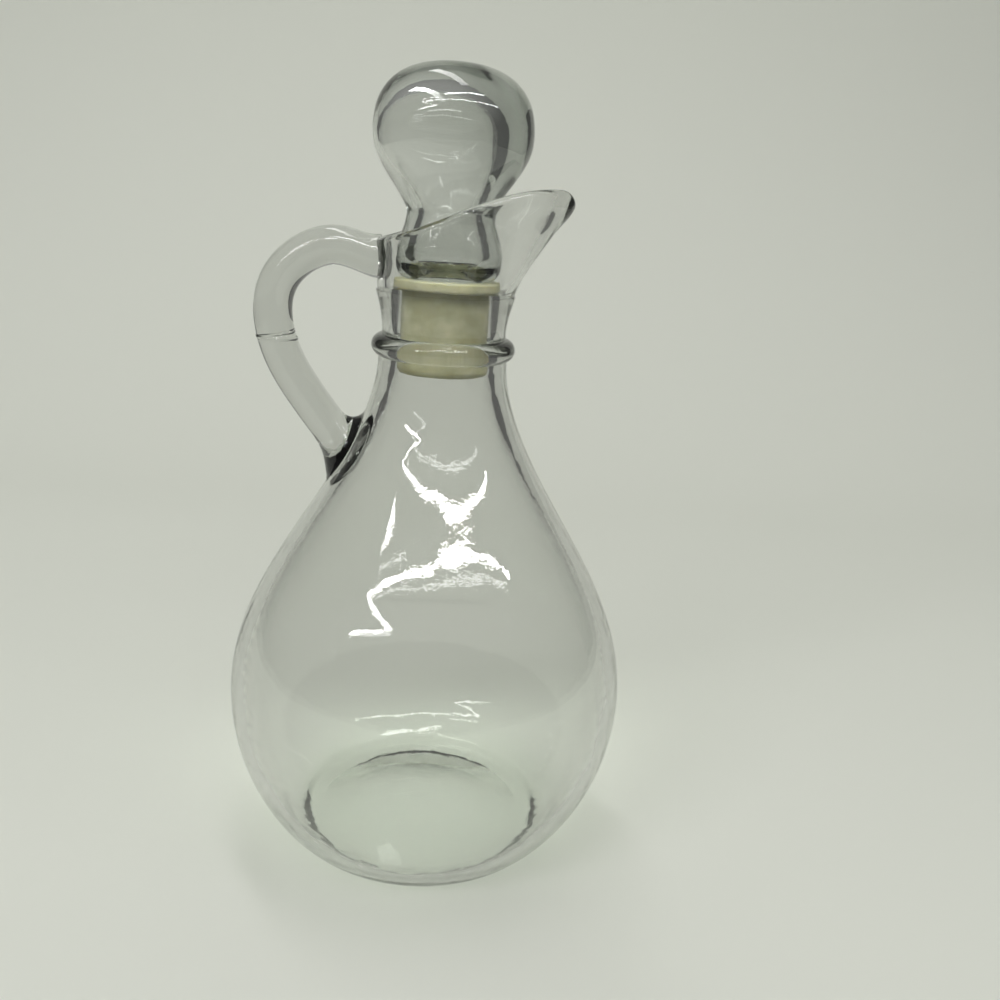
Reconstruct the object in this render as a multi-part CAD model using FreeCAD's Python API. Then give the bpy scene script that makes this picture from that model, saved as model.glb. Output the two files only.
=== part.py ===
import FreeCAD, Part
import math
import os

# Stoppered glass oil cruet: a blown pear-shaped bottle with a drawn-out pouring lip and a loop
# handle, a hollow glass stopper, and the soft plastic seal that the stopper's peg sits in.
# Millimetres. The origin is the centre of the base, +Z is up, the lip points along +X and the
# handle along -X. Heights and radii that meet another part are built up from that part's own.

Vector = FreeCAD.Vector
UP = Vector(0, 0, 1)
ORIGIN = Vector(0, 0, 0)

# Cutting shapes run this far past the glass they open
cut_overrun = 1.0

# Two places closer than this are the same place
tiny = 0.001

# Bottle body, outside
belly_radius = 45.0
belly_height = 37.0
throat_height = 113.2
foot_radius = 27.0
foot_ring_width = 3.0
foot_ring_round = 0.7
base_push_up = 2.4
heel_fullness = 1.54
shoulder_fullness = 0.9

# Bottle body, inside
belly_wall = 2.8
floor_height = 5.0
floor_dome = 0.9
floor_corner_round = 1.6
bore_radius = 10.05

# Throat and the bead round it, where the moulds for the neck and the body meet
throat_wall = 3.85
throat_land = 0.5
bead_half_height = 2.3
bead_proud = 1.6

# Neck above the bead, flaring to the crease under the mouth
neck_wall = 3.25
neck_straight = 1.2
neck_flare_length = 7.9
neck_flare = 1.55
neck_flare_power = 1.6
neck_flare_lean = 0.35
crease_step = 0.35

# Mouth cup and pouring lip
ledge_rise = 0.8
mouth_wall = 1.9
mouth_root = 1.0
cup_flare = 0.2
mouth_flare = 1.3
lip_draw = 11.6
lip_wall = 4.4
lip_curve = 1.25
lip_narrowness = 14.0

# Rim line, seen from the side, measured up from the ledge
rim_low_rise = 8.8
rim_slope_rise = 12.8
lip_tip_round = 3.7
rim_round = 1.1

# Loop handle: its middle line swings out from the mouth and comes down to the shoulder. Each
# bend is its distance out from the side of the bottle and its share of the way down.
handle_depth = 8.8
handle_thickness = 8.2
handle_top_rise = 5.8
handle_top_depth = 0.5
handle_foot_drop = 23.7
handle_foot_depth = 4.4
handle_bend = [(8.9, -0.04), (16.7, 0.018), (21.5, 0.148), (22.4, 0.324),
               (19.95, 0.503), (13.7, 0.676), (5.35, 0.84)]
top_root_spread = 0.12
top_root_run = 0.08
bottom_root_spread = 1.3
bottom_root_run = 0.16
handle_joint_round = 3.0

# Fine flash line round the handle, level with the bead, where the same moulds meet
flash_height = 0.5
flash_proud = 0.15

# Plastic seal, in the bore
flange_overlap = 1.1
flange_thickness = 2.2
flange_round = 0.5
sleeve_clearance = 0.75
band_clearance = 0.25
band_length = 5.9
band_step = 0.8
seal_wall = 2.7
seal_floor = 4.1
seal_round = 1.5

# Stopper, outside, with heights measured up from the seal it sits on
peg_clearance = 0.2
peg_end_clearance = 0.3
peg_length = 15.6
peg_round = 0.8
shoulder_inset = 0.35
shoulder_rise = 4.8
shoulder_round = 2.6
waist_inset = 1.8
waist_rise = 13.2
knob_radius = 16.5
knob_rise = 28.6
knob_squareness = 2.5
knob_under_fullness = 0.7
stopper_rise = 42.5

# Stopper, inside: the bubble lies to the handle side, so the far wall is thicker
peg_wall = 2.6
peg_bore_drop = 1.0
pocket_wall = 3.5
pocket_drop = 0.2
waist_wall = 3.4
stem_bore_lift = 0.9
knob_wall = 2.1
knob_top_wall = 4.5
bubble_shift = 2.2
bubble_drop = 0.4
bubble_squareness = 2.3
bubble_under_fullness = 0.8

# Radii and heights that follow from the sizes above
belly_inside = belly_radius - belly_wall
throat_radius = bore_radius + throat_wall
neck_radius = bore_radius + neck_wall
bead_low = throat_height + throat_land
bead_height = bead_low + bead_half_height
bead_high = bead_height + bead_half_height
crease_height = bead_high + neck_straight + neck_flare_length
crease_radius = neck_radius + neck_flare
mouth_radius = crease_radius - crease_step
cup_radius = mouth_radius - mouth_wall
ledge_height = crease_height + ledge_rise
rim_low = ledge_height + rim_low_rise
rim_high = rim_low + rim_slope_rise
lip_height = rim_high - lip_tip_round
lip_reach = mouth_radius + lip_draw
mouth_stock_top = rim_high + 2.0 * cut_overrun
seat_height = ledge_height + flange_thickness
band_radius = bore_radius - band_clearance
sleeve_radius = bore_radius - sleeve_clearance
flange_radius = bore_radius + flange_overlap
well_radius = band_radius - seal_wall
well_floor = seat_height - peg_length - peg_end_clearance
seal_bottom = well_floor - seal_floor
band_top = seal_bottom + band_length
peg_radius = well_radius - peg_clearance
peg_end = seat_height - peg_length
peg_bore = peg_radius - peg_wall
peg_bore_height = seat_height - peg_bore_drop
shoulder_radius = flange_radius - shoulder_inset
shoulder_height = seat_height + shoulder_rise
pocket_radius = shoulder_radius - pocket_wall
pocket_height = shoulder_height - pocket_drop
waist_radius = shoulder_radius - waist_inset
waist_height = seat_height + waist_rise
stem_bore = waist_radius - waist_wall
stem_bore_height = waist_height + stem_bore_lift
knob_height = seat_height + knob_rise
stopper_top = seat_height + stopper_rise
bubble_radius = knob_radius - knob_wall - bubble_shift
bubble_height = knob_height - bubble_drop
bubble_top = stopper_top - knob_top_wall


def smooth_fall(share):
    """One at share 0, zero at share 1, level at both ends."""
    return 0.5 * (1.0 + math.cos(math.pi * share))


def spin(edges):
    """Solid of revolution about Z from edges that close with the axis."""
    wire = Part.Wire(edges)
    return Part.Face(wire).revolve(ORIGIN, UP, 360)


def line(start, end):
    """Straight edge between two (radius, height) points."""
    return Part.makeLine(Vector(start[0], 0, start[1]), Vector(end[0], 0, end[1]))


def arc(start, middle, end):
    """Circular edge through three (radius, height) points."""
    points = [Vector(p[0], 0, p[1]) for p in (start, middle, end)]
    return Part.Arc(points[0], points[1], points[2]).toShape()


def distances_along(places):
    """Distance travelled from the first place to each place in turn."""
    travelled = [0.0]
    for before, after in zip(places, places[1:]):
        travelled.append(travelled[-1] + before.distanceToPoint(after))
    return travelled


def dome(middle, edge):
    """Shallow circular edge from a level middle on the axis out to a lower point."""
    rise = middle[1] - edge[1]
    sphere_radius = (edge[0] ** 2 + rise ** 2) / (2.0 * rise)
    half_way = 0.5 * edge[0]
    drop = sphere_radius - math.sqrt(sphere_radius ** 2 - half_way ** 2)
    return arc(middle, (half_way, middle[1] - drop), edge)


def curve(points, start_way, end_way):
    """Smooth edge through (radius, height) points that leaves and ends along given ways."""
    places = [Vector(p[0], 0, p[1]) for p in points]
    first = Vector(start_way[0], 0, start_way[1]).normalize()
    last = Vector(end_way[0], 0, end_way[1]).normalize()
    spline = Part.BSplineCurve()
    spline.interpolate(Points=places, Parameters=distances_along(places), InitialTangent=first,
                       FinalTangent=last, Scale=False)
    return spline.toShape()


def closed_wire(points):
    """Smooth closed wire through points in space."""
    spline = Part.BSplineCurve()
    spline.interpolate(Points=points, PeriodicFlag=True)
    return Part.Wire([spline.toShape()])


def round_corner(inside, radius, start_angle, end_angle):
    """Circular edge of a rounded corner, from its centre and two angles in degrees."""
    places = []
    for angle in (start_angle, 0.5 * (start_angle + end_angle), end_angle):
        turn = math.radians(angle)
        places.append((inside[0] + radius * math.cos(turn), inside[1] + radius * math.sin(turn)))
    return arc(places[0], places[1], places[2])


def heel_place(turn, wall):
    """Point (radius, height) on the heel, set in from its outside by the wall, and the slope there.

    The turn goes from zero at the foot to a right angle at the belly.
    """
    swell = belly_radius - foot_radius
    out = math.sin(turn) ** heel_fullness
    outward = swell * heel_fullness * math.sin(turn) ** (heel_fullness - 1.0) * math.cos(turn)
    upward = belly_height * math.sin(turn)
    length = math.hypot(outward, upward)
    radius = foot_radius + swell * out - wall * upward / length
    height = belly_height * (1.0 - math.cos(turn)) + wall * outward / length
    return (radius, height), (outward, upward)


def heel_turn_at(wanted_height, wall):
    """Turn at which the heel, set in by the wall, reaches a height."""
    low = 0.01
    high = 0.5 * math.pi
    halvings = 40
    for _ in range(halvings):
        middle = 0.5 * (low + high)
        if heel_place(middle, wall)[0][1] < wanted_height:
            low = middle
        else:
            high = middle
    return 0.5 * (low + high)


def shoulder_points(wide_radius, top_radius):
    """Side from just above the belly up to the throat."""
    points = []
    steps = 14
    for step in range(1, steps + 1):
        share = step / steps
        radius = top_radius + (wide_radius - top_radius) * smooth_fall(share) ** shoulder_fullness
        points.append((radius, belly_height + (throat_height - belly_height) * share))
    return points


def pear_outside():
    """Outside of the pear shape, from the foot to the throat."""
    points = [(foot_radius, 0.0)]
    steps = 9
    for step in range(1, steps + 1):
        points.append(heel_place(0.5 * math.pi * step / steps, 0.0)[0])
    return curve(points + shoulder_points(belly_radius, throat_radius), (1, 0), (0, 1))


def pear_inside():
    """Inside of the pear shape, from the edge of the floor to the throat."""
    first_turn = heel_turn_at(floor_height, belly_wall)
    start, start_way = heel_place(first_turn, belly_wall)
    points = [start]
    steps = 8
    for step in range(1, steps + 1):
        turn = first_turn + (0.5 * math.pi - first_turn) * step / steps
        points.append(heel_place(turn, belly_wall)[0])
    return start, curve(points + shoulder_points(belly_inside, bore_radius), start_way, (0, 1))


def side_at(height):
    """Outside radius of the bottle's side at a height above the belly, as if the neck were plain."""
    share = min(1.0, (height - belly_height) / (throat_height - belly_height))
    fall = smooth_fall(share) ** shoulder_fullness
    return throat_radius + (belly_radius - throat_radius) * fall


def build_body():
    """Bottle from the foot to the crease, as a full solid."""
    foot_inner = foot_radius - foot_ring_width
    flare_start = bead_high + neck_straight
    flare = []
    flare_steps = 6
    for step in range(flare_steps + 1):
        share = step / flare_steps
        radius = neck_radius + neck_flare * share ** neck_flare_power
        flare.append((radius, flare_start + neck_flare_length * share))
    edges = [
        dome((0, base_push_up), (foot_inner, 0)),
        line((foot_inner, 0), (foot_radius, 0)),
        pear_outside(),
        line((throat_radius, throat_height), (throat_radius, bead_low)),
        arc((throat_radius, bead_low), (throat_radius + bead_proud, bead_height),
            (neck_radius, bead_high)),
        line((neck_radius, bead_high), (neck_radius, flare_start)),
        curve(flare, (0, 1), (neck_flare_lean, 1)),
        line((crease_radius, crease_height), (0, crease_height)),
        line((0, crease_height), (0, base_push_up)),
    ]
    glass = spin(edges)
    ring_edge = [edge for edge in glass.Edges if edge.BoundBox.ZMax < tiny
                 and edge.BoundBox.XMax < foot_inner + tiny]
    return glass.makeFillet(foot_ring_round, ring_edge)


def build_inside():
    """Space inside the bottle, from the floor up to the ledge."""
    floor_edge, side = pear_inside()
    floor_middle = floor_edge[1] + floor_dome
    inside_top = ledge_height + cut_overrun
    edges = [
        dome((0, floor_middle), floor_edge),
        side,
        line((bore_radius, throat_height), (bore_radius, inside_top)),
        line((bore_radius, inside_top), (0, inside_top)),
        line((0, inside_top), (0, floor_middle)),
    ]
    space = spin(edges)
    corner = [edge for edge in space.Edges if abs(edge.BoundBox.ZMax - floor_height) < tiny
              and edge.BoundBox.ZLength < tiny]
    return space.makeFillet(floor_corner_round, corner)


def mouth_wire(height, round_radius, reach):
    """Level section of the mouth: round, and drawn out to the lip on the +X side."""
    count = 48
    points = []
    for step in range(count):
        turn = 2.0 * math.pi * step / count
        drawn = (0.5 * (1.0 + math.cos(turn))) ** lip_narrowness
        radius = round_radius + (reach - round_radius) * drawn
        points.append(Vector(radius * math.cos(turn), radius * math.sin(turn), height))
    return closed_wire(points)


def build_mouth_stock():
    """Outside of the mouth, still too tall."""
    sections = []
    steps = 8
    base = crease_height - mouth_root
    for step in range(steps + 1):
        height = base + (mouth_stock_top - base) * step / steps
        share = max(0.0, (height - crease_height) / (lip_height - crease_height))
        round_radius = mouth_radius + mouth_flare * share
        reach = mouth_radius + lip_draw * min(1.0, share) ** lip_curve
        sections.append(mouth_wire(height, round_radius, reach))
    return Part.makeLoft(sections, True, False)


def build_mouth_inside():
    """Cup inside the mouth, from the ledge to above the rim."""
    sections = []
    steps = 7
    top = mouth_stock_top + cut_overrun
    channel_draw = lip_reach - lip_wall - cup_radius
    for step in range(steps + 1):
        height = ledge_height + (top - ledge_height) * step / steps
        share = (height - ledge_height) / (lip_height - ledge_height)
        round_radius = cup_radius + cup_flare * share
        reach = cup_radius + channel_draw * share
        sections.append(mouth_wire(height, round_radius, reach))
    return Part.makeLoft(sections, True, False)


def build_rim_cutter():
    """Everything above the rim line and beyond the rounded tip of the lip."""
    rim_run = lip_reach - lip_tip_round
    side = 1.5 * lip_reach
    high = mouth_stock_top + cut_overrun
    low = crease_height - mouth_root - cut_overrun
    points = []
    steps = 12
    for step in range(steps + 1):
        share = step / steps
        out = rim_run * (2.0 * share - 1.0)
        points.append((out, rim_low + rim_slope_rise * smooth_fall(1.0 - share)))
    edges = [
        line((-side, rim_low), (-rim_run, rim_low)),
        curve(points, (1, 0), (1, 0)),
        round_corner((rim_run, lip_height), lip_tip_round, 90, 0),
        line((lip_reach, lip_height), (lip_reach, low)),
        line((lip_reach, low), (side, low)),
        line((side, low), (side, high)),
        line((side, high), (-side, high)),
        line((-side, high), (-side, rim_low)),
    ]
    face = Part.Face(Part.Wire(edges))
    face.translate(Vector(0, -side, 0))
    return face.extrude(Vector(0, 2 * side, 0))


def handle_path():
    """Middle line of the handle, from inside the mouth's wall to inside the shoulder's."""
    top_out = mouth_radius - handle_top_depth
    top_height = ledge_height + handle_top_rise
    foot_height = throat_height - handle_foot_drop
    foot_out = side_at(foot_height) - handle_foot_depth
    places = [Vector(-top_out, 0, top_height)]
    for distance, drop_share in handle_bend:
        height = top_height - (top_height - foot_height) * drop_share
        places.append(Vector(-side_at(height) - distance, 0, height))
    places.append(Vector(-foot_out, 0, foot_height))
    path = Part.BSplineCurve()
    path.interpolate(Points=places, Parameters=distances_along(places),
                     InitialTangent=Vector(-1, 0, 0),
                     FinalTangent=(places[-1] - places[-2]).normalize(), Scale=False)
    return path


def build_handle(proud):
    """Loop handle as one swept rod whose two ends spread where they join the bottle.

    The rod stands proud of its named thickness and depth by this much all round.
    """
    path = handle_path()
    sections = []
    stations = 24
    for station in range(stations + 1):
        share = station / stations
        at = path.LastParameter * share
        along = Vector(path.tangent(at)[0])
        across = Vector(along.z, 0, -along.x)
        to_top = max(0.0, 1.0 - share / top_root_run)
        to_bottom = max(0.0, 1.0 - (1.0 - share) / bottom_root_run)
        spread = 1.0 + top_root_spread * to_top ** 2 + bottom_root_spread * to_bottom ** 2
        half_thickness = 0.5 * handle_thickness * spread + proud
        half_depth = 0.25 * handle_depth * (1.0 + spread) + proud
        points = []
        count = 20
        for step in range(count):
            turn = 2.0 * math.pi * step / count
            sideways = Vector(0, half_depth * math.sin(turn), 0)
            points.append(path.value(at) + across * (half_thickness * math.cos(turn)) + sideways)
        sections.append(closed_wire(points))
    return Part.makeLoft(sections, True, False)


def build_mouth():
    """Mouth cup with its rim edges rounded."""
    mouth = build_mouth_stock().cut(build_rim_cutter()).cut(build_mouth_inside())
    rim_edges = [edge for edge in mouth.Edges if edge.BoundBox.ZMin > rim_low - rim_round]
    return mouth.makeFillet(rim_round, rim_edges)


def build_flash():
    """Flash line round the handle at the height of the bead."""
    size = 2.0 * belly_radius
    corner = Vector(-size - neck_radius - handle_thickness, -0.5 * size, bead_height - 0.5 * flash_height)
    return build_handle(flash_proud).common(Part.makeBox(size, size, flash_height, corner))


def build_bottle():
    """The whole bottle, one piece of glass."""
    glass = build_body().fuse([build_mouth(), build_handle(0.0)])
    joint_edges = []
    for edge in glass.Edges:
        box = edge.BoundBox
        on_handle_side = box.XMax < -bore_radius
        if on_handle_side and box.ZMax < bead_height and box.YLength > handle_depth:
            joint_edges.append(edge)
    glass = glass.makeFillet(handle_joint_round, joint_edges)
    return glass.fuse(build_flash()).cut(build_inside())


def knob_points():
    """Side of the stopper from the waist, round the knob, to the middle of its top."""
    points = []
    lower_steps = 8
    for step in range(lower_steps):
        share = 1.0 - step / lower_steps
        radius = waist_radius + (knob_radius - waist_radius) * smooth_fall(share) ** knob_under_fullness
        points.append((radius, knob_height - (knob_height - waist_height) * share))
    upper_steps = 10
    for step in range(upper_steps + 1):
        turn = 0.5 * math.pi * step / upper_steps
        power = 2.0 / knob_squareness
        radius = knob_radius * abs(math.cos(turn)) ** power
        height = knob_height + (stopper_top - knob_height) * math.sin(turn) ** power
        points.append((radius, height))
    points[-1] = (0.0, stopper_top)
    return points


def build_stopper():
    """Hollow glass stopper: knob, waist, shoulder that sits on the seal, and peg."""
    corner = shoulder_radius - shoulder_round
    shoulder = []
    steps = 6
    for step in range(steps + 1):
        share = step / steps
        radius = shoulder_radius - (shoulder_radius - waist_radius) * smooth_fall(1.0 - share)
        shoulder.append((radius, shoulder_height + (waist_height - shoulder_height) * share))
    edges = [
        line((0, peg_end), (peg_radius - peg_round, peg_end)),
        round_corner((peg_radius - peg_round, peg_end + peg_round), peg_round, -90, 0),
        line((peg_radius, peg_end + peg_round), (peg_radius, seat_height)),
        line((peg_radius, seat_height), (corner, seat_height)),
        round_corner((corner, seat_height + shoulder_round), shoulder_round, -90, 0),
        line((shoulder_radius, seat_height + shoulder_round), (shoulder_radius, shoulder_height)),
        curve(shoulder, (0, 1), (0, 1)),
        curve(knob_points(), (0, 1), (-1, 0)),
        line((0, stopper_top), (0, peg_end)),
    ]
    return spin(edges).cut(build_bubble())


def bubble_sections():
    """Height, radius and sideways shift of the stopper's hollow, from the peg to the knob."""
    sections = []
    steps = 4
    for step in range(steps + 1):
        share = step / steps
        radius = peg_bore + (pocket_radius - peg_bore) * smooth_fall(1.0 - share)
        sections.append((peg_bore_height + (pocket_height - peg_bore_height) * share, radius, 0.0))
    for step in range(1, steps + 1):
        share = step / steps
        radius = stem_bore + (pocket_radius - stem_bore) * smooth_fall(share)
        sections.append((pocket_height + (stem_bore_height - pocket_height) * share, radius, 0.0))
    knob_steps = 7
    for step in range(1, knob_steps + 1):
        share = step / knob_steps
        swell = smooth_fall(1.0 - share) ** bubble_under_fullness
        radius = stem_bore + (bubble_radius - stem_bore) * swell
        height = stem_bore_height + (bubble_height - stem_bore_height) * share
        sections.append((height, radius, -bubble_shift * swell))
    top_steps = 9
    for step in range(1, top_steps):
        turn = 0.5 * math.pi * step / top_steps
        power = 2.0 / bubble_squareness
        radius = bubble_radius * math.cos(turn) ** power
        height = bubble_height + (bubble_top - bubble_height) * math.sin(turn) ** power
        sections.append((height, radius, -bubble_shift))
    return sections


def build_bubble():
    """Hollow inside the stopper, open at the end of the peg."""
    wires = []
    for height, radius, shift in bubble_sections():
        circle = Part.Circle(Vector(shift, 0, height), UP, radius)
        wires.append(Part.Wire([circle.toShape()]))
    wires.append(Part.Vertex(Vector(-bubble_shift, 0, bubble_top)))
    hollow = Part.makeLoft(wires, True, False)
    depth = peg_bore_height - peg_end + cut_overrun
    bore = Part.makeCylinder(peg_bore, depth, Vector(0, 0, peg_end - cut_overrun), UP)
    return hollow.fuse(bore)


def build_seal():
    """Soft plastic seal: a cup round the peg, a flange on the ledge and a tight lower band."""
    band_corner = band_radius - seal_round
    flange_corner = flange_radius - flange_round
    edges = [
        line((0, well_floor), (0, seal_bottom)),
        line((0, seal_bottom), (band_corner, seal_bottom)),
        round_corner((band_corner, seal_bottom + seal_round), seal_round, -90, 0),
        line((band_radius, seal_bottom + seal_round), (band_radius, band_top)),
        line((band_radius, band_top), (sleeve_radius, band_top + band_step)),
        line((sleeve_radius, band_top + band_step), (sleeve_radius, ledge_height)),
        line((sleeve_radius, ledge_height), (flange_corner, ledge_height)),
        round_corner((flange_corner, ledge_height + flange_round), flange_round, -90, 0),
        line((flange_radius, ledge_height + flange_round),
             (flange_radius, seat_height - flange_round)),
        round_corner((flange_corner, seat_height - flange_round), flange_round, 0, 90),
        line((flange_corner, seat_height), (well_radius, seat_height)),
        line((well_radius, seat_height), (well_radius, well_floor)),
        line((well_radius, well_floor), (0, well_floor)),
    ]
    return spin(edges)


pieces = {
    "bottle": build_bottle(),
    "stopper": build_stopper(),
    "seal": build_seal(),
}
os.makedirs("parts", exist_ok=True)
for name, shape in pieces.items():
    shape.Solids[0].exportStep("parts/" + name + ".step")
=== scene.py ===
import bpy
import math
from mathutils import Matrix, Vector

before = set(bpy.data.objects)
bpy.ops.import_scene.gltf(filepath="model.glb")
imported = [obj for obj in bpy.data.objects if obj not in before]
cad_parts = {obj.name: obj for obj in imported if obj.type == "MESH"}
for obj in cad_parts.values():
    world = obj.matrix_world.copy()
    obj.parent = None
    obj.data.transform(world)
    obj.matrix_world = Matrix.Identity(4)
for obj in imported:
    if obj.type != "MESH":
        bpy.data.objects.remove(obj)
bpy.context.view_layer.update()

# The bottle: one piece of soda-lime glass, blown into a two-part mould, with the lip drawn out and
# the handle joined on while hot. It is clear where it is thin and smoky grey-green where it is
# thick. The mould left its skin gently wavy, with a fine ripple on top.
GLASS_IOR = 1.5
CAST_PER_METRE = 100.0
SHADOW_CAST = (0.80, 0.82, 0.79, 1.0)
RIPPLE_SIZE = 0.0007
SWELL_DETAIL = 1.0
BOTTLE_CAST = (0.987, 0.99, 0.986, 1.0)
BOTTLE_DEEP_CAST = (0.68, 0.69, 0.67, 1.0)
BOTTLE_WAVE_SIZE = 0.012
BOTTLE_WAVE_HEIGHT = 0.00004
BOTTLE_RIPPLE_HEIGHT = 0.000004


def skin_relief(nodes, links, place, size, height, under=None):
    """Bump of soft swells of one size and height in metres, laid over another bump."""
    swells = nodes.new("ShaderNodeTexNoise")
    swells.inputs["Scale"].default_value = 1.0 / size
    swells.inputs["Detail"].default_value = SWELL_DETAIL
    links.new(place.outputs["Object"], swells.inputs["Vector"])
    bump = nodes.new("ShaderNodeBump")
    bump.inputs["Strength"].default_value = 1.0
    bump.inputs["Distance"].default_value = height
    links.new(swells.outputs["Fac"], bump.inputs["Height"])
    if under:
        links.new(under.outputs["Normal"], bump.inputs["Normal"])
    return bump


def clear_glass(name, cast, deep_cast, wave_size, wave_height, ripple_height):
    """Clear moulded glass whose skin is slightly uneven, with a cast that deepens with thickness."""
    material = bpy.data.materials.new(name)
    material.use_nodes = True
    nodes = material.node_tree.nodes
    links = material.node_tree.links
    nodes.clear()
    output = nodes.new("ShaderNodeOutputMaterial")
    glass = nodes.new("ShaderNodeBsdfPrincipled")
    glass.inputs["Base Color"].default_value = cast
    glass.inputs["Transmission Weight"].default_value = 1.0
    glass.inputs["IOR"].default_value = GLASS_IOR
    glass.inputs["Roughness"].default_value = 0.0

    place = nodes.new("ShaderNodeTexCoord")
    waves = skin_relief(nodes, links, place, wave_size, wave_height)
    ripple = skin_relief(nodes, links, place, RIPPLE_SIZE, ripple_height, waves)
    links.new(ripple.outputs["Normal"], glass.inputs["Normal"])

    depth = nodes.new("ShaderNodeVolumeAbsorption")
    depth.inputs["Color"].default_value = deep_cast
    depth.inputs["Density"].default_value = CAST_PER_METRE
    links.new(depth.outputs["Volume"], output.inputs["Volume"])

    # Light on its way to the board passes the glass with a soft loss, so the shadow stays pale.
    path = nodes.new("ShaderNodeLightPath")
    passing = nodes.new("ShaderNodeBsdfTransparent")
    passing.inputs["Color"].default_value = SHADOW_CAST
    mix = nodes.new("ShaderNodeMixShader")
    links.new(path.outputs["Is Shadow Ray"], mix.inputs["Fac"])
    links.new(glass.outputs["BSDF"], mix.inputs[1])
    links.new(passing.outputs["BSDF"], mix.inputs[2])
    links.new(mix.outputs["Shader"], output.inputs["Surface"])
    return material


def finish_piece(name, material):
    """Give a piece of the cruet its one material."""
    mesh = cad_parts[name].data
    mesh.materials.clear()
    mesh.materials.append(material)


bottle_glass = clear_glass("bottle_glass", BOTTLE_CAST, BOTTLE_DEEP_CAST, BOTTLE_WAVE_SIZE,
                           BOTTLE_WAVE_HEIGHT, BOTTLE_RIPPLE_HEIGHT)

# The flash line that the two halves of the mould left across the handle lies level with the bead.
# It stops well outside the neck.
FLASH_HEIGHT = 0.1160
FLASH_WIDTH = 0.0011
FLASH_PROUD = 0.00032
NECK_CLEAR = -0.022


def math_node(nodes, links, operation, first, second=None):
    """Math node fed by a socket, and by a second socket or a number."""
    node = nodes.new("ShaderNodeMath")
    node.operation = operation
    links.new(first, node.inputs[0])
    if isinstance(second, float):
        node.inputs[1].default_value = second
    elif second:
        links.new(second, node.inputs[1])
    return node.outputs["Value"]


def flash_line(material):
    """Level ridge across the handle, laid over the skin that the glass has already."""
    nodes = material.node_tree.nodes
    links = material.node_tree.links
    glass = nodes["Principled BSDF"]
    skin = glass.inputs["Normal"].links[0].from_socket
    place = nodes.new("ShaderNodeTexCoord")
    parts = nodes.new("ShaderNodeSeparateXYZ")
    links.new(place.outputs["Object"], parts.inputs["Vector"])
    off_line = math_node(nodes, links, "SUBTRACT", parts.outputs["Z"], FLASH_HEIGHT)
    distance = math_node(nodes, links, "ABSOLUTE", off_line)
    ridge = nodes.new("ShaderNodeMapRange")
    ridge.interpolation_type = "SMOOTHSTEP"
    ridge.inputs["From Min"].default_value = 0.0
    ridge.inputs["From Max"].default_value = 0.5 * FLASH_WIDTH
    ridge.inputs["To Min"].default_value = 1.0
    ridge.inputs["To Max"].default_value = 0.0
    links.new(distance, ridge.inputs["Value"])
    on_handle = math_node(nodes, links, "LESS_THAN", parts.outputs["X"], NECK_CLEAR)
    rise = math_node(nodes, links, "MULTIPLY", ridge.outputs["Result"], on_handle)
    bump = nodes.new("ShaderNodeBump")
    bump.inputs["Strength"].default_value = 1.0
    bump.inputs["Distance"].default_value = FLASH_PROUD
    links.new(rise, bump.inputs["Height"])
    links.new(skin, bump.inputs["Normal"])
    links.new(bump.outputs["Normal"], glass.inputs["Normal"])


flash_line(bottle_glass)
finish_piece("bottle", bottle_glass)

# The stopper: the same glass, pressed thick on one side and at its foot, with one long bubble
# blown inside, so its solid parts are the darkest of the cruet.
STOPPER_CAST = (0.987, 0.99, 0.986, 1.0)
STOPPER_DEEP_CAST = (0.62, 0.645, 0.62, 1.0)
STOPPER_WAVE_SIZE = 0.008
STOPPER_WAVE_HEIGHT = 0.00004
STOPPER_RIPPLE_HEIGHT = 0.000003
stopper_glass = clear_glass("stopper_glass", STOPPER_CAST, STOPPER_DEEP_CAST, STOPPER_WAVE_SIZE,
                            STOPPER_WAVE_HEIGHT, STOPPER_RIPPLE_HEIGHT)
finish_piece("stopper", stopper_glass)

# The seal: soft polyethylene, moulded as one cup and gone yellow with age. It is milky, paler where
# it is thin, clouded in patches where it grips the glass, and finely grained all over.
SEAL_DEEP = (0.36, 0.348, 0.215, 1.0)
SEAL_PALE = (0.53, 0.518, 0.365, 1.0)
SEAL_DEEP_UNTIL = 0.38
SEAL_PALE_FROM = 0.66
SEAL_GLOSSIEST = 0.30
SEAL_DULLEST = 0.52
SEAL_MILKINESS = 0.7
SEAL_GLOW_REACH = (1.0, 0.9, 0.5)
SEAL_GLOW_DEPTH = 0.003
SEAL_PATCH = 0.006
SEAL_PATCH_DETAIL = 4.0
SEAL_SWELL_HEIGHT = 0.00025
SEAL_GRAIN = 0.0007
SEAL_GRAIN_HEIGHT = 0.00004
seal_plastic = bpy.data.materials.new("seal_plastic")
seal_plastic.use_nodes = True
seal_nodes = seal_plastic.node_tree.nodes
seal_links = seal_plastic.node_tree.links
seal_body = seal_nodes["Principled BSDF"]
seal_body.inputs["Subsurface Weight"].default_value = SEAL_MILKINESS
seal_body.inputs["Subsurface Radius"].default_value = SEAL_GLOW_REACH
seal_body.inputs["Subsurface Scale"].default_value = SEAL_GLOW_DEPTH
seal_place = seal_nodes.new("ShaderNodeTexCoord")
seal_patches = seal_nodes.new("ShaderNodeTexNoise")
seal_patches.inputs["Scale"].default_value = 1.0 / SEAL_PATCH
seal_patches.inputs["Detail"].default_value = SEAL_PATCH_DETAIL
seal_links.new(seal_place.outputs["Object"], seal_patches.inputs["Vector"])
seal_shade = seal_nodes.new("ShaderNodeValToRGB")
seal_shade.color_ramp.elements[0].position = SEAL_DEEP_UNTIL
seal_shade.color_ramp.elements[0].color = SEAL_DEEP
seal_shade.color_ramp.elements[1].position = SEAL_PALE_FROM
seal_shade.color_ramp.elements[1].color = SEAL_PALE
seal_links.new(seal_patches.outputs["Fac"], seal_shade.inputs["Fac"])
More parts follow.
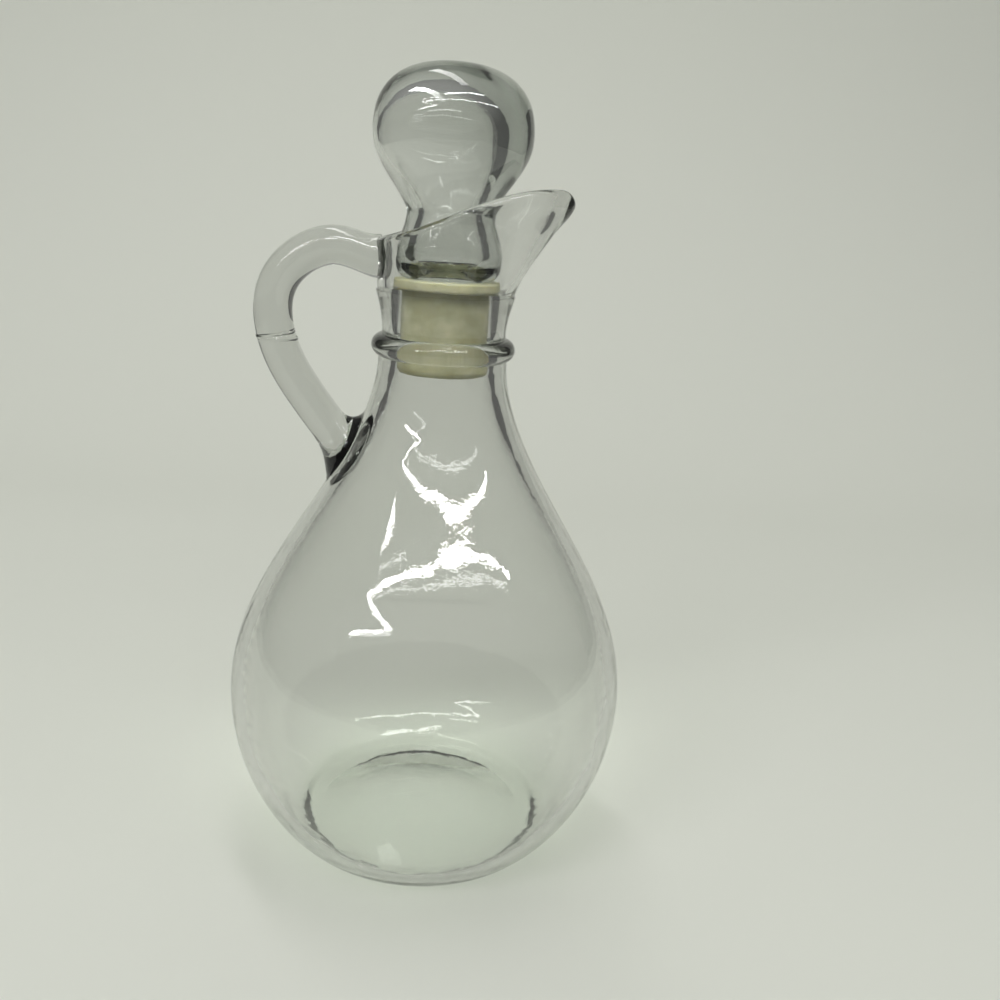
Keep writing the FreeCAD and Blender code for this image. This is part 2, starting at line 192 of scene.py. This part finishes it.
seal_links.new(seal_shade.outputs["Color"], seal_body.inputs["Base Color"])
seal_sheen = seal_nodes.new("ShaderNodeMapRange")
seal_sheen.inputs["To Min"].default_value = SEAL_GLOSSIEST
seal_sheen.inputs["To Max"].default_value = SEAL_DULLEST
seal_links.new(seal_patches.outputs["Fac"], seal_sheen.inputs["Value"])
seal_links.new(seal_sheen.outputs["Result"], seal_body.inputs["Roughness"])
seal_swell = skin_relief(seal_nodes, seal_links, seal_place, SEAL_PATCH, SEAL_SWELL_HEIGHT)
seal_grain = skin_relief(seal_nodes, seal_links, seal_place, SEAL_GRAIN, SEAL_GRAIN_HEIGHT, seal_swell)
seal_links.new(seal_grain.outputs["Normal"], seal_body.inputs["Normal"])
finish_piece("seal", seal_plastic)

# The floor: one pale matt painted board under the cruet that bends up behind it in a wide curve, so
# that no corner shows. It lies a hair below the foot.
BOARD_HALF_WIDTH = 0.50
BOARD_FRONT = -0.60
BOARD_BEND_START = 0.27
BOARD_BEND_RADIUS = 0.30
BOARD_BEND_STEPS = 24
BOARD_TOP = 0.75
BOARD_DROP = 0.0003
BOARD_PAINT = (0.76, 0.78, 0.71, 1.0)
BOARD_ROUGHNESS = 0.8
board_line = [(BOARD_FRONT, 0.0), (BOARD_BEND_START, 0.0)]
for step in range(1, BOARD_BEND_STEPS + 1):
    turn = 0.5 * math.pi * step / BOARD_BEND_STEPS
    board_line.append((BOARD_BEND_START + BOARD_BEND_RADIUS * math.sin(turn),
                       BOARD_BEND_RADIUS * (1.0 - math.cos(turn))))
board_line.append((BOARD_BEND_START + BOARD_BEND_RADIUS, BOARD_TOP))
board_points = []
for depth, height in board_line:
    board_points.append((-BOARD_HALF_WIDTH, depth, height - BOARD_DROP))
    board_points.append((BOARD_HALF_WIDTH, depth, height - BOARD_DROP))
board_faces = [(2 * n, 2 * n + 1, 2 * n + 3, 2 * n + 2) for n in range(len(board_line) - 1)]
board_mesh = bpy.data.meshes.new("floor_board")
board_mesh.from_pydata(board_points, [], board_faces)
board_mesh.shade_smooth()
board_paint = bpy.data.materials.new("board_paint")
board_paint.use_nodes = True
paint = board_paint.node_tree.nodes["Principled BSDF"]
paint.inputs["Base Color"].default_value = BOARD_PAINT
paint.inputs["Roughness"].default_value = BOARD_ROUGHNESS
board_mesh.materials.append(board_paint)
floor_board = bpy.data.objects.new("floor_board", board_mesh)
bpy.context.scene.collection.objects.link(floor_board)

# The lamps: two broad soft ones over the front of the board, which the glass does not mirror, a slim
# one straight overhead, a slimmer one that shows only as a glint on rim, knob and handle, and three
# rails of slim lamps bent round in front, above the camera.
LAMP_WHITE = (1.0, 1.0, 1.0)
LAMP_WARM = (1.0, 1.0, 0.98)


def soft_lamp(name, place, target, width, height, power, colour=LAMP_WHITE):
    """Rectangular soft lamp aimed at a point, with its width kept level."""
    light = bpy.data.lights.new(name, "AREA")
    light.shape = "RECTANGLE"
    light.size = width
    light.size_y = height
    light.energy = power
    light.color = colour
    lamp = bpy.data.objects.new(name, light)
    lamp.location = place
    aim = Vector(target) - Vector(place)
    lamp.rotation_euler = aim.to_track_quat("-Z", "Y").to_euler()
    bpy.context.scene.collection.objects.link(lamp)
    return lamp


overhead = soft_lamp("overhead", place=(0.0, -0.45, 1.20), target=(0.0, 0.05, 0.0),
                     width=1.1, height=0.9, power=0.5, colour=LAMP_WARM)
backdrop_wash = soft_lamp("backdrop_wash", place=(0.0, -0.95, 0.55), target=(0.0, 0.57, 0.42),
                          width=0.9, height=0.5, power=1.7, colour=LAMP_WARM)
for lamp in (overhead, backdrop_wash):
    lamp.visible_glossy = False
    lamp.visible_transmission = False
soft_lamp("top_strip", place=(-0.05, 0.10, 1.10), target=(0.0, 0.0, 0.1),
          width=0.12, height=0.9, power=2.0)
glint_strip = soft_lamp("glint_strip", place=(0.15, -0.53, 0.93), target=(0.0, 0.0, 0.08),
                        width=0.8, height=0.045, power=3.4)
glint_strip.visible_diffuse = False

# Each rail is a run of slim lamps round a centre inside the body. Its bends are degrees round from
# the front, to the right, and degrees up.
RAIL_RADIUS = 1.0
RAIL_CENTRE = Vector((0, 0, 0.08))
RAIL_BENDS = [(-50, 33), (-35, 38), (-19, 41), (0, 42.3), (22, 42.3), (45, 38.7), (64, 33), (68, 31)]
RAIL_ABOVE_BENDS = [(-27, 44), (-32, 43.5), (-41, 41.5), (-50, 38)]
RAIL_BELOW_BENDS = [(-50, 33), (-42, 32), (-27, 31), (-33, 29), (-54, 23)]


def slim_rail(name, bends, width, glow):
    """Slim lamps end to end through the bends, all of one width and equally bright."""
    corners = []
    for around, above in bends:
        turn = math.radians(around)
        corners.append(RAIL_CENTRE + RAIL_RADIUS * Vector(
            (math.sin(turn), -math.cos(turn), math.tan(math.radians(above)))))
    for number, (left_end, right_end) in enumerate(zip(corners, corners[1:])):
        run = right_end - left_end
        lamp = soft_lamp("%s_%d" % (name, number), (left_end + right_end) / 2, RAIL_CENTRE,
                         run.length, width, glow * run.length * width * math.pi)
        face = (lamp.location - RAIL_CENTRE).normalized()
        upward = face.cross(run.normalized()).normalized()
        level = upward.cross(face).normalized()
        lamp.rotation_euler = Matrix((level, upward, face)).transposed().to_euler()


slim_rail("rail", RAIL_BENDS, width=0.016, glow=40.0)
slim_rail("rail_above", RAIL_ABOVE_BENDS, width=0.016, glow=34.0)
slim_rail("rail_below", RAIL_BELOW_BENDS, width=0.016, glow=34.0)

# The room: a dim plain studio round the board, with nothing in it. It is dark low down and grows
# paler towards its ceiling.
ROOM_DARK = (0.12, 0.12, 0.115, 1.0)
ROOM_PALE = (0.38, 0.38, 0.365, 1.0)
ROOM_DARK_UNTIL = 0.35
ROOM_PALE_FROM = 0.85
room = bpy.data.worlds.new("room")
room.use_nodes = True
room_nodes = room.node_tree.nodes
room_links = room.node_tree.links
room_place = room_nodes.new("ShaderNodeTexCoord")
room_parts = room_nodes.new("ShaderNodeSeparateXYZ")
room_links.new(room_place.outputs["Generated"], room_parts.inputs["Vector"])
room_shade = room_nodes.new("ShaderNodeValToRGB")
room_shade.color_ramp.elements[0].position = ROOM_DARK_UNTIL
room_shade.color_ramp.elements[0].color = ROOM_DARK
room_shade.color_ramp.elements[1].position = ROOM_PALE_FROM
room_shade.color_ramp.elements[1].color = ROOM_PALE
room_links.new(room_parts.outputs["Z"], room_shade.inputs["Fac"])
room_links.new(room_shade.outputs["Color"], room_nodes["Background"].inputs["Color"])
room_nodes["Background"].inputs["Strength"].default_value = 1.0
bpy.context.scene.world = room

# The camera: it stands close in front of the cruet, level with its mouth, and looks slightly down,
# turned a little to the right and tipped a little to one side.
CAMERA_PLACE = (0.0, -0.223, 0.147)
CAMERA_SENSOR = 36.0
CAMERA_LENS = 37.08
CAMERA_NEAREST = 0.01
CAMERA_YAW = math.radians(3.72)
CAMERA_PITCH = math.radians(16.2)
CAMERA_ROLL = math.radians(3.9)
LIGHT_BOUNCES = 24
forward = Vector((math.sin(CAMERA_YAW) * math.cos(CAMERA_PITCH),
                  math.cos(CAMERA_YAW) * math.cos(CAMERA_PITCH),
                  -math.sin(CAMERA_PITCH)))
right = Vector((math.cos(CAMERA_YAW), -math.sin(CAMERA_YAW), 0))
up = right.cross(forward)
right_rolled = math.cos(CAMERA_ROLL) * right + math.sin(CAMERA_ROLL) * up
up_rolled = math.cos(CAMERA_ROLL) * up - math.sin(CAMERA_ROLL) * right
camera_data = bpy.data.cameras.new("camera")
camera_data.sensor_width = CAMERA_SENSOR
camera_data.lens = CAMERA_LENS
camera_data.clip_start = CAMERA_NEAREST
camera = bpy.data.objects.new("camera", camera_data)
camera.matrix_world = Matrix((
    (right_rolled.x, up_rolled.x, -forward.x, CAMERA_PLACE[0]),
    (right_rolled.y, up_rolled.y, -forward.y, CAMERA_PLACE[1]),
    (right_rolled.z, up_rolled.z, -forward.z, CAMERA_PLACE[2]),
    (0, 0, 0, 1)))
bpy.context.scene.collection.objects.link(camera)
bpy.context.scene.camera = camera
bpy.context.scene.view_settings.view_transform = "Standard"
bpy.context.scene.cycles.max_bounces = LIGHT_BOUNCES
bpy.context.scene.cycles.transmission_bounces = LIGHT_BOUNCES
bpy.context.scene.cycles.glossy_bounces = LIGHT_BOUNCES
bpy.context.scene.cycles.transparent_max_bounces = LIGHT_BOUNCES
